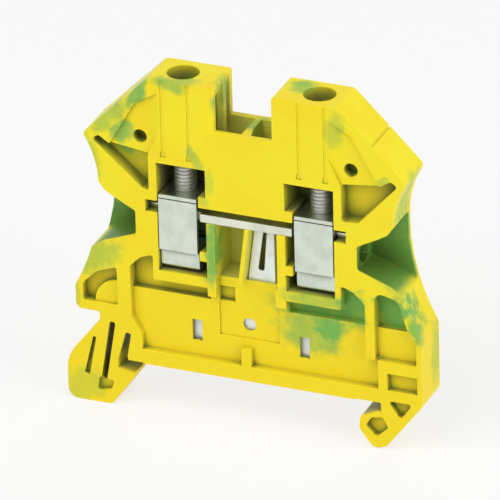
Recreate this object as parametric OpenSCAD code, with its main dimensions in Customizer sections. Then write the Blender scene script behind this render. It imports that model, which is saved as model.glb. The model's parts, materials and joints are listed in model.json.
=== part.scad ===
// Earth terminal block for a top-hat rail, with two screw clamps.
// Origin: centre of the rail seat, level with the rail's top. X runs along the block from the latch (-X)
// to the fixed hook (+X), Y runs along the rail with the open side at -Y, and Z is up.

/* [Block] */
// Thickness of the block along the rail
block_t = 6.2; // [6:0.1:7]
// Height of the tower tops above the rail
tower_z = 40; // [39:0.5:43]
// Thickness of the closed side wall
back_wall = 0.9; // [0.7:0.1:1.1]
// Reach of the lower lobes from the rail's centre
lobe_x = 23.15; // [22.8:0.05:24]
// Height at which the lower lobes are widest
lobe_z = 9.5; // [9:0.1:10]

/* [Towers] */
// Distance between the two screw axes
screw_gap = 18.14; // [17.6:0.02:18.8]
// Clear width of the bay between the towers
bay_w = 7.7; // [7:0.1:8.2]
// Height of the bay's sill above the rail
bay_z = 34; // [32:0.5:36]
// Width of each tower's top
tower_w = 8.65; // [8.4:0.05:9]
// Bore of the screwdriver guides
guide_d = 4.1; // [4:0.05:4.4]
// Thickness of the wall in front of the bridge shafts
bay_wall = 0.7; // [0.5:0.1:1]
// Thickness of the divider between the bridge shafts, where it meets the wall in front
bay_divider = 1.3; // [1.1:0.1:1.6]
// Distance from the block's centre to the divider's middle
divider_x = 0.15; // [0:0.05:0.4]
// Depth of the grooves in the bay's side walls
bay_groove = 1.2; // [0.4:0.1:1.5]
// Thickness of the rib between these grooves
bay_rib = 1; // [0.8:0.1:1.3]

/* [Wings] */
// Reach of the wing tips from the rail's centre
wing_x = 21.55; // [21:0.05:22.5]
// Height of the wing tips above the rail
wing_z = 31; // [30:0.1:32]
// Radius of the wing tips
wing_r = 0.7; // [0.4:0.1:1]
// Half width of the block at its waist
waist_x = 19.6; // [19.2:0.05:20]
// Depth of the wing pockets
wing_pocket_d = 2.1; // [1.2:0.1:2.4]
// Diameter of the peg holes
peg_d = 1.8; // [1.6:0.1:2.4]
// Depth of the peg holes
peg_depth = 2.2; // [1.5:0.1:3]
// Distance from a screw axis to the peg hole beside it
peg_offset = 4.95; // [4.6:0.05:5.3]
// Height of the peg holes
peg_z = 31.5; // [31.3:0.1:32.2]

/* [Conductor entries] */
// Distance from the rail's centre to the inner end of the funnels
funnel_x = 14.75; // [14.6:0.05:15.2]
// Height of the conductor holes' axis
wire_z = 19.6; // [19.5:0.05:19.7]
// Diameter of the conductor holes
wire_d = 3; // [2.6:0.1:3]

/* [Foot] */
// Width of the rail that the foot grips
rail_w = 35; // [34.6:0.1:35.4]
// Thickness of the rail's flange
rail_t = 1; // [0.8:0.1:1.5]
// Clearance left around the rail's flange
rail_clear = 0.12; // [0.05:0.01:0.2]
// Depth of the foot below the rail's top
foot_drop = 6.5; // [6:0.1:7]
// Reach of the latch from the rail's centre
latch_x = 24.55; // [24:0.05:25]
// Reach of the latch's lip under the rail's flange
lip_reach = 2.25; // [1.8:0.05:2.6]
// Reach of the fixed hook under the rail's flange
hook_reach = 2.95; // [2.4:0.05:3.4]
// Width of the slots that let the latch bend
latch_slot = 0.75; // [0.5:0.05:0.9]
// Height of the base above the rail
base_h = 2; // [1.9:0.1:2.4]
// Depth of the base's panel in the open side
panel_d = 1; // [0.8:0.1:1.1]

/* [Current bar] */
// Length of the bar from tongue to tongue
bar_len = 26.4; // [26:0.1:27]
// Thickness of the bar
bar_t = 1.1; // [0.9:0.05:1.2]
// Height of the bar's underside
bar_z = 21.1; // [21.1:0.05:21.3]
// Thickness of the tongues at the bar's ends
tongue_t = 0.7; // [0.5:0.05:0.8]
// Width of the tongues
tongue_w = 2.5; // [2:0.1:2.8]
// Clearance between the wide middle of the bar and the sleeves
bar_gap = 0.4; // [0.3:0.05:0.6]

/* [Clamping sleeves] */
// Width of a sleeve along the bar
sleeve_w = 5.1; // [4.8:0.05:5.2]
// Height of a sleeve
sleeve_h = 10.2; // [9.8:0.05:10.4]
// Thickness of a sleeve's side walls
sleeve_wall = 0.55; // [0.4:0.05:0.55]
// Thickness of a sleeve's threaded top
sleeve_top = 1.8; // [1.4:0.05:2]
// Depth by which the lower lap is set back from a sleeve's face
lap_d = 0.6; // [0.4:0.05:0.65]
// Clearance around a sleeve in its chamber
sleeve_clear = 0.1; // [0.06:0.01:0.15]
// Travel of a sleeve from open to clamped
clamp_travel = 4; // [3:0.1:4.1]

/* [Clamping screws] */
// Diameter of a screw's shank
screw_d = 2.9; // [2.5:0.05:3]
// Diameter of a screw's head
head_d = 3.4; // [3.3:0.05:3.5]
// Height of a screw's head
head_h = 2.4; // [2:0.1:2.6]
// Width of the driver slot
slot_w = 0.8; // [0.6:0.05:1]
// Depth of the driver slot
slot_d = 1.2; // [0.8:0.1:1.5]
// Running clearance of a screw in its sleeve
thread_clear = 0.05; // [0.03:0.01:0.08]
// Thickness of the ledge that carries a screw's head
ledge_t = 1; // [0.8:0.1:1.3]

/* [Rail contact] */
// Sheet thickness of the rail contact
contact_t = 0.8; // [0.6:0.05:0.9]
// Length of the rail contact's foot along the block
contact_len = 28; // [27:0.5:28.5]
// Width of the rail contact's body behind the panels
contact_w = 17.2; // [17:0.1:18]
// Height of the rail contact's body
contact_h = 9.2; // [9:0.1:9.8]
// Width of the stem that reaches the bar
stem_w = 3.6; // [3.4:0.05:3.7]
// Distance from the block's centre to the stem's middle
stem_x = 1.35; // [1.25:0.05:1.5]
// Clearance around the contact in its slot
contact_clear = 0.05; // [0.03:0.01:0.1]

/* [Hidden] */

$fn = 48;
// Overshoot of a cut past the face that it opens
cut = 0.5;
// Segments in each rounded corner, and in each half of a flank's curve
arc_steps = 4;
flank_steps = 6;
left = -1;
right = 1;

yellow = [0.94, 0.86, 0.16];
plated_steel = [0.8, 0.83, 0.79];
tinned_copper = [0.9, 0.9, 0.88];

front_y = -block_t / 2;
back_y = block_t / 2;
inner_back_y = back_y - back_wall;
panel_y = front_y + panel_d;

screw_x = screw_gap / 2;
tower_in_x = bay_w / 2;
tower_out_x = tower_in_x + tower_w;

// Sleeve: outer faces, and the clear inside that the bar and the conductor share
sleeve_y0 = front_y + sleeve_clear;
sleeve_y1 = inner_back_y - sleeve_clear;
sleeve_in_y0 = sleeve_y0 + sleeve_wall;
sleeve_in_y1 = sleeve_y1 - sleeve_wall;
sleeve_in_x = screw_x - sleeve_w / 2;
bar_top = bar_z + bar_t;
sleeve_roof_z = bar_top + sleeve_clear;
sleeve_z1 = sleeve_roof_z + sleeve_top;
sleeve_z0 = sleeve_z1 - sleeve_h;
sleeve_bore = screw_d + 2 * thread_clear;
// The folded floor stops just under the bar when the clamp is closed
clamp_stop = 0.15;
lap_over = 0.5;
sleeve_floor_z = bar_z - clamp_stop - clamp_travel;
lap_z = sleeve_floor_z - lap_over;

// Chamber in which a sleeve rises
chamber_floor_gap = 0.4;
chamber_side_gap = 0.15;
chamber_bay = 1.25;
chamber_z0 = sleeve_z0 - chamber_floor_gap;
chamber_z1 = sleeve_z1 + clamp_travel + 3 * sleeve_clear;
chamber_out_x = screw_x + sleeve_w / 2 + chamber_side_gap;
chamber_in_x = sleeve_in_x - chamber_bay;
// Brow and lug that stand out of the chamber's inner wall beside the sleeve
brow_gap = 0.25;
brow_h = 1.5;
brow_z = bar_top + 0.9;
lug_gap = 0.3;
lug_h = 1.3;
lug_z = chamber_z0 + 2.2;

// Ledge, head pocket and driver guide over the chamber
ledge_z1 = chamber_z1 + ledge_t;
ledge_bore = screw_d + 0.2;
head_clear = 0.05;
head_pocket_d = head_d + 0.2;
head_z0 = ledge_z1 + head_clear;
head_z1 = head_z0 + head_h;
head_pocket_z1 = head_z1 + 0.25;
screw_tip_z = bar_top + head_clear;
screw_chamfer = 0.35;

// Bar: wide between the sleeves, narrow through them, thin tongues in the end slots
bar_clear = 0.1;
bar_y0 = sleeve_in_y0 + bar_clear;
bar_y1 = sleeve_in_y1 - bar_clear;
bar_mid_y0 = front_y + 0.2;
bar_mid_x = sleeve_in_x - bar_gap;
bar_narrow_x = chamber_out_x - 0.2;
bar_end_gap = 0.15;
tongue_z = bar_top - tongue_t;
tongue_y0 = (bar_y0 + bar_y1 - tongue_w) / 2;

// Rail contact: a plate that stands behind the panels
panel_skin = 0.7;
contact_y0 = panel_y + panel_skin + contact_clear;
contact_y1 = contact_y0 + contact_t;
contact_foot_h = 1.8;
contact_pad = 2.5;
contact_lift = 0.4;
stem_taper = 1;
stem_x0 = stem_x - stem_w / 2;
stem_x1 = stem_x + stem_w / 2;
stem_slot_z = chamber_z0 + 1.4;
stem_slot_foot = 0.8;
stem_slot_head = 0.35;
stem_slot_lean = 0.55;

// Walls, ribs and panels seen on the open side
well_wall = 1.15;
well_x = chamber_in_x - well_wall;
well_rib = 0.55;
well_rib_gap = 0.15;
rib_w = 1.3;
rib_x = 15.7;
rib_z = 6;
// Levels of the open side: the panel, the middle panel behind it, and the groove over the panel
middle_y = panel_y + 0.3;
groove_y = panel_y + panel_d;
groove_z0 = 10.15;
groove_z1 = chamber_z0 - 1.4;
lap_in = 0.2;
window_x = 7.2;
window_w = 1.3;
window_z0 = 4;
window_z1 = 6.85;
sight_hole_d = 1.7;
sight_hole_x = -0.25;
sight_hole_z = 7.25;

// Foot: faces that meet the rail
hook_x = rail_w / 2 + rail_clear;
lip_z = -(rail_t + rail_clear);
seat_x = rail_w / 2 - 3.2;
seat_relief = 0.08;

// Conductor funnel
wire_y = (sleeve_in_y0 + sleeve_in_y1) / 2;
funnel_z0 = wire_z - wire_d / 2 - 0.05;
funnel_z1 = wire_z + wire_d / 2 + 0.15;
funnel_lip_z = 16.4;

// A corner list of [x, z, radius] becomes an outline with each corner rounded
function xz(p) = [p[0], p[1]];
function unit(v) = v / norm(v);
function turn(a, b) = ((b - a + 540) % 360) - 180;
function arc(centre, r, a0, sweep) =
    [for (i = [0:arc_steps])
        let (a = a0 + sweep * i / arc_steps)
        centre + r * [cos(a), sin(a)]];
function corner(a, b, c, r) =
    let (u = unit(a - b), w = unit(c - b), half = acos(u * w) / 2)
    let (reach = min(r / tan(half), 0.45 * norm(a - b), 0.45 * norm(c - b)))
    let (centre = b + unit(u + w) * reach / cos(half))
    let (s = b + u * reach - centre, e = b + w * reach - centre)
    let (a0 = atan2(s[1], s[0]))
    arc(centre, reach * tan(half), a0, turn(a0, atan2(e[1], e[0])));
function rounded(p) =
    let (n = len(p))
    [for (i = [0:n - 1])
        let (before = xz(p[(i + n - 1) % n]), here = xz(p[i]), after = xz(p[(i + 1) % n]))
        each (p[i][2] == 0 ? [here] : corner(before, here, after, p[i][2]))];
function reversed(p) = [for (i = [len(p) - 1:-1:0]) p[i]];

// Extrudes an outline drawn in X and Z between two depths
module slab(y0, y1) {
    translate([0, y1, 0]) rotate([90, 0, 0]) linear_extrude(y1 - y0) children();
}

// Sinks an outline into the open side down to a depth
module sink(y1) {
    slab(front_y - cut, y1) children();
}

module shape(p) {
    polygon(rounded(p));
}

module box(x0, x1, y0, y1, z0, z1) {
    translate([x0, y0, z0]) cube([x1 - x0, y1 - y0, z1 - z0]);
}

module bore_y(x, z, d, y1) {
    translate([x, front_y - cut, z]) rotate([-90, 0, 0]) cylinder(d = d, h = y1 - front_y + cut);
}

module both_ends() {
    children();
    mirror([1, 0, 0]) children();
}

// Flank of one end: wing tip, waist and lower lobe, each stretch a parabola
waist_top = 24.5;
waist_low = 23;
function flank(end) = concat(
    [[end * wing_x, wing_z, wing_r]],
    [for (i = [flank_steps - 1:-1:0])
        let (t = i / flank_steps)
        [end * (waist_x + (wing_x - waist_x) * t * t), waist_top + (wing_z - waist_top) * t, 0]],
    [for (i = [0:flank_steps])
        let (t = i / flank_steps)
        [end * (waist_x + (lobe_x - waist_x) * t * t), waist_low - (waist_low - lobe_z) * t, 0]]);

// Latch end: lower lobe, neck, bending arm, and the lip under the rail's flange
lobe_end_z = 6.3;
latch_neck_x = 19.95;
latch_neck_z = 5;
latch_bend_z = -0.6;
latch_bend_r = 5;
latch_toe_x = hook_x + 0.95;
latch_gap_z = 3.9;
latch_gap_lean = 1.1;
lip_nose = 0.45;
function latch_end() = [
    [-lobe_x, lobe_end_z, 0.9],
    [-latch_neck_x, lobe_end_z, 0.3],
    [-latch_neck_x, latch_neck_z, 0],
    [-latch_x, latch_bend_z, latch_bend_r],
    [-latch_x, -foot_drop, 1.4],
    [-latch_toe_x, -foot_drop, 0.8],
    [-hook_x + lip_reach, lip_z - 2 * lip_nose, 0.15],
    [-hook_x + lip_reach, lip_z - lip_nose, 0.15],
    [-hook_x, lip_z, 0],
    [-hook_x, 0, 0],
    [-hook_x + latch_gap_lean, latch_gap_z, 0.3],
    [-hook_x + latch_gap_lean + latch_slot, latch_gap_z, 0.3],
    [-hook_x + 0.5 + latch_slot, 0.6, 0],
    [-hook_x + 0.6 + latch_slot, seat_relief, 0]];

// Fixed end: rail seat, hook under the flange and the sloping toe
hook_toe = 1;
hook_toe_w = 1.7;
function fixed_end() = [
    [-seat_x, seat_relief, 0],
    [-seat_x, 0, 0],
    [seat_x, 0, 0],
    [seat_x, seat_relief, 0],
    [hook_x, seat_relief, 0],
    [hook_x, lip_z, 0],
    [hook_x - 0.4, lip_z, 0],
    [hook_x - hook_reach + 0.2, lip_z - 1.1, 0.5],
    [hook_x - hook_reach, lip_z - 2.8, 0.8],
    [hook_x - hook_toe, -foot_drop, 1.2],
    [hook_x - hook_toe + hook_toe_w, -foot_drop + 0.6, 0.6],
    [lobe_x, 0.4, 1.5]];

function outline() = concat(
    [[-tower_in_x, bay_z, 0], [-tower_in_x, tower_z, 0.3], [-tower_out_x, tower_z, 0.5]],
    flank(left),
    latch_end(),
    fixed_end(),
    reversed(flank(right)),
    [[tower_out_x, tower_z, 0.5], [tower_in_x, tower_z, 0.3], [tower_in_x, bay_z, 0]]);

// Grooves in a tower's wall that guide a plug-in bridge, parted by a rib and running out at their tops
module bay_grooves() {
    rib_y = front_y + 3.2;
    z0 = bay_z - 2;
    top_z = tower_z - 0.5;
    slope_h = 2.6;
    deep_x = tower_in_x + bay_groove;
    for (y = [[front_y + bay_wall, rib_y], [rib_y + bay_rib, inner_back_y]])
        slab(y[0], y[1]) polygon([
            [tower_in_x - cut, z0], [deep_x, z0], [deep_x, top_z - slope_h],
            [tower_in_x, top_z], [tower_in_x - cut, top_z]]);
}

// Shafts for the pins of a plug-in bridge: the divider between them is thinner behind the wall in front
module bridge_shafts() {
    y0 = front_y + bay_wall;
    y_thin = y0 + 2;
    left_x = divider_x - bay_divider / 2;
    right_x = divider_x + bay_divider / 2;
    thinner = 0.4;
    depth = bay_z - bar_top + cut;
    box(-tower_in_x, left_x, y0, inner_back_y, bar_top, bay_z + cut);
    translate([0, 0, bar_top]) linear_extrude(depth) polygon([
        [right_x, y0], [tower_in_x, y0], [tower_in_x, inner_back_y],
        [right_x - thinner, inner_back_y], [right_x - thinner, y_thin]]);
}

// Room for one sleeve, with the brow and the lug left standing on its inner side
module clamp_chamber() {
    brow_x = sleeve_in_x - brow_gap;
    lug_x = sleeve_in_x - lug_gap;
    sink(inner_back_y) polygon([
        [chamber_in_x, chamber_z0], [chamber_out_x, chamber_z0],
        [chamber_out_x, chamber_z1], [chamber_in_x, chamber_z1],
        [chamber_in_x, brow_z + brow_h], [brow_x, brow_z + brow_h],
        [brow_x, brow_z], [chamber_in_x, brow_z],
        [chamber_in_x, lug_z + lug_h], [lug_x, lug_z + lug_h],
        [lug_x, lug_z], [chamber_in_x, lug_z]]);
}

module driver_guide() {
    translate([screw_x, 0, chamber_z1 - cut]) cylinder(d = ledge_bore, h = ledge_t + 2 * cut);
    translate([screw_x, 0, ledge_z1]) cylinder(d = head_pocket_d, h = head_pocket_z1 - ledge_z1 + cut);
    translate([screw_x, 0, head_pocket_z1]) cylinder(d = guide_d, h = tower_z - head_pocket_z1 + cut);
}

// Funnel open to the end and the open side, and the hole from it into the chamber
module conductor_entry() {
    out_x = lobe_x + cut;
    lip_fall = 0.667;
    lip_x = waist_x - 0.5;
    sink(inner_back_y) shape([
        [funnel_x, funnel_z0, 0.4], [funnel_x, funnel_z1, 0.4],
        [waist_x - 2, waist_low - 0.25, 0], [waist_x - 0.75, waist_low + 0.5, 0.6],
        [waist_x + cut, waist_top + 0.8, 0], [out_x, waist_top + 0.8, 0],
        [out_x, funnel_lip_z - (out_x - lip_x) * lip_fall, 0], [lip_x, funnel_lip_z, 2]]);
    translate([chamber_out_x - cut, wire_y, wire_z]) rotate([0, 90, 0])
        cylinder(d = wire_d, h = funnel_x - chamber_out_x + 2 * cut);
}

// Pocket under a wing's slope; its floor edge is flat over a short way beside the tower
module wing_pocket(flat) {
    x0 = tower_out_x + 0.35;
    z0 = wing_z - 6.6;
    tip_x = wing_x - 1.2;
    brow_drop = 0.9;
    sink(front_y + wing_pocket_d) shape([
        [x0, z0, 0.3], [x0 + flat, z0 + 0.2, 0.3],
        [tip_x, wing_z - 0.6, 0.4], [tip_x - brow_drop, wing_z, 0.4],
        [tip_x - 2.3, wing_z - brow_drop, 0.5], [x0, wing_z - 1.6, 0.3]]);
}

// Shallow recess of the shoulder, with a ramp down to its floor beside the tower
module shoulder_recess() {
    x0 = screw_x + 2.1;
    x1 = wing_x - 3.4;
    floor_y = front_y + 0.5;
    ramp = 1;
    intersection() {
        sink(floor_y + cut) polygon([
            [x0, wing_z + 2], [x0 + 1.7, wing_z - 1.8], [x1, wing_z - 1.2],
            [x1 - 3.8, wing_z + 5.4], [x0, wing_z + 7.2]]);
        translate([0, 0, chamber_z1]) linear_extrude(tower_z - chamber_z1) polygon([
            [x0, front_y - cut], [x1 + cut, front_y - cut], [x1 + cut, floor_y],
            [x0 + ramp, floor_y], [x0, front_y]]);
    }
}

// Fine lines that mark the guide's walls on the tower's face, each with a small dot at its foot
module tower_lines() {
    line_w = 0.35;
    line_d = 0.08;
    z0 = ledge_z1 + 0.3;
    for (x = [screw_x - 1.75, screw_x + 1.75]) {
        box(x - line_w / 2, x + line_w / 2, front_y - cut, front_y + line_d, z0, tower_z - 0.2);
        box(x - line_w, x + line_w, front_y - cut, front_y + 2 * line_d, z0 - line_w, z0 + line_w);
    }
}

// Line across the shoulder's slope where a marker strip snaps in
module marker_groove() {
    mid = ([tower_out_x, tower_z] + [wing_x, wing_z]) / 2;
    slope = atan2(wing_z - tower_z, wing_x - tower_out_x);
    groove_w = 0.3;
    groove_d = 0.12;
    translate([mid[0], 0, mid[1]]) rotate([0, -slope, 0])
        box(-groove_w / 2, groove_w / 2, front_y - cut, back_y + cut, -groove_d, cut);
}

module peg_hole() {
    bore_y(screw_x + peg_offset, peg_z, peg_d, front_y + peg_depth);
}

// Slot along which the bar lies, and the slots for its tongues in the outer walls
module bar_slot() {
    box(-chamber_in_x - cut, chamber_in_x + cut, front_y - cut, bar_y1 + bar_clear, bar_z, brow_z);
    both_ends()
        box(chamber_out_x - cut, bar_len / 2 + bar_end_gap, front_y - cut,
            tongue_y0 + tongue_w + bar_clear, tongue_z, brow_z);
}

// Two deep wells under the bar, parted by a leaning rib
module centre_wells() {
    foot_x = stem_x0 - well_rib_gap;
    head_x = foot_x + stem_taper;
    sink(inner_back_y) polygon([
        [-well_x, chamber_z0], [foot_x - well_rib, chamber_z0],
        [head_x - well_rib, bar_z], [-well_x, bar_z]]);
    sink(inner_back_y) polygon([
        [foot_x, chamber_z0], [well_x, chamber_z0], [well_x, bar_z], [head_x, bar_z]]);
}

// Slot from below that takes the rail contact, and the openings through which it shows
module contact_slot() {
    y0 = contact_y0 - contact_clear;
    y1 = contact_y1 + contact_clear;
    body_x = contact_w / 2 + contact_clear;
    foot_x = contact_len / 2 + contact_clear;
    box(-foot_x, foot_x, y0, y1, -cut, contact_foot_h + contact_clear);
    box(-body_x, body_x, y0, y1, -cut, contact_h + contact_clear);
    box(stem_x0 - well_rib_gap, stem_x1 + contact_clear, y0, y1, contact_h, chamber_z0 + cut);
    both_ends()
        box(window_x - window_w / 2, window_x + window_w / 2, front_y, contact_y0, window_z0, window_z1);
    bore_y(sight_hole_x, sight_hole_z, sight_hole_d, contact_y0);
}

// Levels of the base: the panel with a short rib in its middle, a groove over it that widens into a gusset
// at each end, and the middle panel under the wells with a keyway in its corner
module base_panels() {
    half_rib = 0.65;
    short_rib_x = -0.3;
    short_rib_z = 4.4;
    slant_z = rib_z + 0.5;
    slant_h = 2.5;
    end_x = hook_x - 0.3;
    middle_z = rib_z - 0.6;
    wall_end_z = groove_z0 + 0.8;
    gusset_x = chamber_out_x + 0.8;
    gusset_z = groove_z1 + 3.4;
    gusset_slope = 0.7;
    keyway = 2;
    difference() {
        sink(panel_y) polygon([
            [-rib_x, groove_z0 + lap_in], [-rib_x, slant_z], [-seat_x, slant_z - slant_h], [-seat_x, base_h],
            [end_x, base_h], [end_x, rib_z], [rib_x, rib_z], [rib_x, groove_z0 + lap_in]]);
        box(short_rib_x - half_rib, short_rib_x + half_rib, front_y - 2 * cut, panel_y + cut,
            base_h - cut, short_rib_z);
    }
    both_ends() sink(groove_y) shape([
        [chamber_in_x, groove_z0, 0], [rib_x, groove_z0, 0], [rib_x, gusset_z - 3 * gusset_slope, 0.4],
        [rib_x - 2 * gusset_slope, gusset_z - gusset_slope, 0.5], [gusset_x, gusset_z, 0.3],
        [gusset_x, groove_z1, 0], [chamber_in_x, groove_z1, 0]]);
    box(-chamber_in_x, chamber_in_x, front_y - cut, panel_y, rib_z, wall_end_z);
    box(-well_x, well_x - 0.3, front_y - cut, middle_y, middle_z, chamber_z0);
    box(-well_x, keyway - well_x, front_y - cut, groove_y, groove_z0, groove_z1);
}

// Pocket in the latch end's lobe, with a quarter round standing in its corner
module latch_lobe_pocket() {
    x1 = -(rib_x + rib_w + 0.5);
    z0 = lobe_end_z + 1.3;
    x0 = -lobe_x + 1;
    round_r = 3.2;
    deep = 1.4;
    shallow = 0.5;
    difference() {
        sink(front_y + deep) shape([
            [x0, z0, 0.2], [x1, z0, 0.2], [x1, z0 + 5.3, 0.3], [x0 + 2, z0 + 4.3, 0.8], [x0, z0 + 2.4, 0.8]]);
        translate([x1, front_y + shallow, z0]) rotate([-90, 0, 0]) cylinder(r = round_r, h = deep);
    }
}

// Slot and grooves of the bending latch
module latch_slots() {
    x0 = -hook_x - 0.63;
    lean = 1.4;
    half = latch_slot / 2;
    z0 = latch_neck_z + 0.1;
    z1 = 3.1 - foot_drop;
    groove_d = 0.8;
    slab(front_y - cut, back_y + cut) shape([
        [x0 - half, z0, 0.3], [x0 - lean - half, z1, 0.3],
        [x0 - lean + half, z1, 0.3], [x0 + half, z0, 0.3]]);
    sink(front_y + groove_d) shape([
        [x0 - lean - 0.9, z1 - 1.5, 0.3], [x0 - lean + 1, z1 - 1, 0.3],
        [x0 - lean + 1.4, z1 + 0.2, 0.3], [x0 - lean - 0.6, z1 + 0.5, 0.3]]);
    sink(front_y + groove_d) shape([
        [x0 - 2.7, latch_neck_z - 2.4, 0.1], [x0 - 4, -2.7, 0.1], [x0 - 3.3, -2.9, 0.1],
        [x0 - 3.2, -2.2, 0], [x0 - 2.3, latch_neck_z - 2.4, 0.1]]);
}

// Cells of the fixed end: the deep arch under the funnel, the panel below it, and the cells of the hook
module fixed_end_cells() {
    x0 = rib_x + rib_w;
    x1 = lobe_x - 0.65;
    arch_z = groove_z0;
    arch_x = x1 - 1;
    low_x = hook_x + 0.95;
    low_h = 2.3;
    deep = 1;
    notch_z = 0.5;
    notch_w = 1.65;
    sink(groove_y) shape([
        [x0, arch_z, 0], [arch_x, arch_z, 0], [arch_x - 1.4, arch_z + 4.5, 1],
        [x0 + 0.7, arch_z + 5.1, 1], [x0, arch_z + 4.3, 0.4]]);
    sink(panel_y) shape([
        [x0, rib_z, 0.2], [x1, rib_z, 0.2], [x1, lobe_z - 0.5, 0.4],
        [arch_x - lap_in / 2, arch_z + lap_in, 0], [x0, arch_z + lap_in, 0]]);
    box(low_x, x1, front_y - cut, front_y + deep, base_h, base_h + low_h);
    sink(front_y + deep) shape([
        [low_x, notch_z, 0.3], [low_x + notch_w, notch_z - low_h, 0.3], [low_x + 2 * notch_w, notch_z, 0.3]]);
    sink(front_y + deep) shape([
        [hook_x - 2.1, -3.4, 0.4], [hook_x - 0.65, -4.8, 0.4], [hook_x + 0.95, -3.3, 0.4],
        [hook_x + 0.25, -1.95, 0.4], [hook_x - 1.2, -2.15, 0.4]]);
}

module housing() {
    color(yellow) difference() {
        slab(front_y, back_y) shape(outline());
        both_ends() {
            bay_grooves();
            clamp_chamber();
            driver_guide();
            conductor_entry();
            shoulder_recess();
            peg_hole();
            tower_lines();
            marker_groove();
        }
        bridge_shafts();
        mirror([1, 0, 0]) wing_pocket(0.8);
        wing_pocket(2.2);
        bar_slot();
        centre_wells();
        contact_slot();
        base_panels();
        latch_lobe_pocket();
        latch_slots();
        fixed_end_cells();
    }
}

module current_bar() {
    color(tinned_copper) union() {
        box(-bar_mid_x, bar_mid_x, bar_mid_y0, bar_y1, bar_z, bar_top);
        box(-bar_narrow_x, bar_narrow_x, bar_y0, bar_y1, bar_z, bar_top);
        box(-bar_len / 2, bar_len / 2, tongue_y0, tongue_y0 + tongue_w, tongue_z, bar_top);
    }
}

// Stamped plate: pads on the rail, body behind the panels, and a split stem up to the bar
module rail_contact() {
    foot_x = contact_len / 2;
    body_x = contact_w / 2;
    slot_x = stem_x + 0.35;
    slot_top_x = slot_x + stem_slot_lean;
    color(tinned_copper) slab(contact_y0, contact_y1) difference() {
        polygon([
            [-foot_x, 0], [-foot_x + contact_pad, 0], [-foot_x + contact_pad, contact_lift],
            [foot_x - contact_pad, contact_lift], [foot_x - contact_pad, 0], [foot_x, 0],
            [foot_x, contact_foot_h], [body_x, contact_foot_h], [body_x, contact_h],
            [stem_x1, contact_h], [stem_x1, bar_z], [stem_x0 + stem_taper, bar_z],
            [stem_x0, chamber_z0], [stem_x0, contact_h], [-body_x, contact_h],
            [-body_x, contact_foot_h], [-foot_x, contact_foot_h]]);
        shape([
            [slot_x - stem_slot_foot, stem_slot_z, 0.3], [slot_x, stem_slot_z, 0.3],
            [slot_top_x, bar_z + cut, 0], [slot_top_x - stem_slot_head, bar_z + cut, 0]]);
    }
}

// Folded ring round the bar and the conductor, with a threaded top and a seam across its face
module clamp_sleeve(end) {
    fold_r = 0.45;
    brow_r = 0.25;
    inner_r = 0.3;
    roof_r = inner_r / 2;
    seam_h = 0.14;
    seam_d = 0.14;
    seam_z = sleeve_z1 - fold_r - seam_h;
    color(plated_steel) translate([end * screw_x, 0, 0]) difference() {
        translate([-sleeve_w / 2, 0, 0]) rotate([90, 0, 90]) linear_extrude(sleeve_w) difference() {
            shape([
                [sleeve_y0 + lap_d, sleeve_z0, fold_r], [sleeve_y1, sleeve_z0, fold_r],
                [sleeve_y1, sleeve_z1, fold_r], [sleeve_y0, sleeve_z1, brow_r],
                [sleeve_y0, lap_z, 0], [sleeve_y0 + lap_d, lap_z, 0]]);
            shape([
                [sleeve_in_y0, sleeve_floor_z, inner_r], [sleeve_in_y1, sleeve_floor_z, inner_r],
                [sleeve_in_y1, sleeve_roof_z, roof_r], [sleeve_in_y0, sleeve_roof_z, roof_r]]);
        }
        translate([0, 0, sleeve_roof_z - cut]) cylinder(d = sleeve_bore, h = sleeve_top + 2 * cut);
        box(-sleeve_w, sleeve_w, sleeve_y0 - cut, sleeve_y0 + seam_d, seam_z, seam_z + seam_h);
        box(-sleeve_w, sleeve_w, sleeve_y0 - cut, sleeve_y0 + lap_d + seam_d, lap_z - seam_h, lap_z);
    }
}

// Turned screw with a slotted cheese head
module clamp_screw(end) {
    shank_r = screw_d / 2;
    head_r = head_d / 2;
    edge = 0.25;
    color(plated_steel) translate([end * screw_x, 0, 0]) difference() {
        rotate_extrude() polygon([
            [0, screw_tip_z], [shank_r - screw_chamfer, screw_tip_z],
            [shank_r, screw_tip_z + screw_chamfer], [shank_r, head_z0], [head_r, head_z0],
            [head_r, head_z1 - edge], [head_r - edge, head_z1], [0, head_z1]]);
        box(-head_d, head_d, -slot_w / 2, slot_w / 2, head_z1 - slot_d, head_z1 + cut);
    }
}

module clamp_sleeve_left() { clamp_sleeve(left); }
module clamp_sleeve_right() { clamp_sleeve(right); }
module clamp_screw_left() { clamp_screw(left); }
module clamp_screw_right() { clamp_screw(right); }

housing();
current_bar();
rail_contact();
clamp_sleeve_left();
clamp_sleeve_right();
clamp_screw_left();
clamp_screw_right();
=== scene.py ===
import json
import math
from collections import namedtuple

import bmesh
import bpy
from bpy.props import FloatProperty, FloatVectorProperty, IntProperty, PointerProperty
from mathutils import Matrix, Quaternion, Vector
from mathutils.geometry import intersect_point_line

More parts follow.
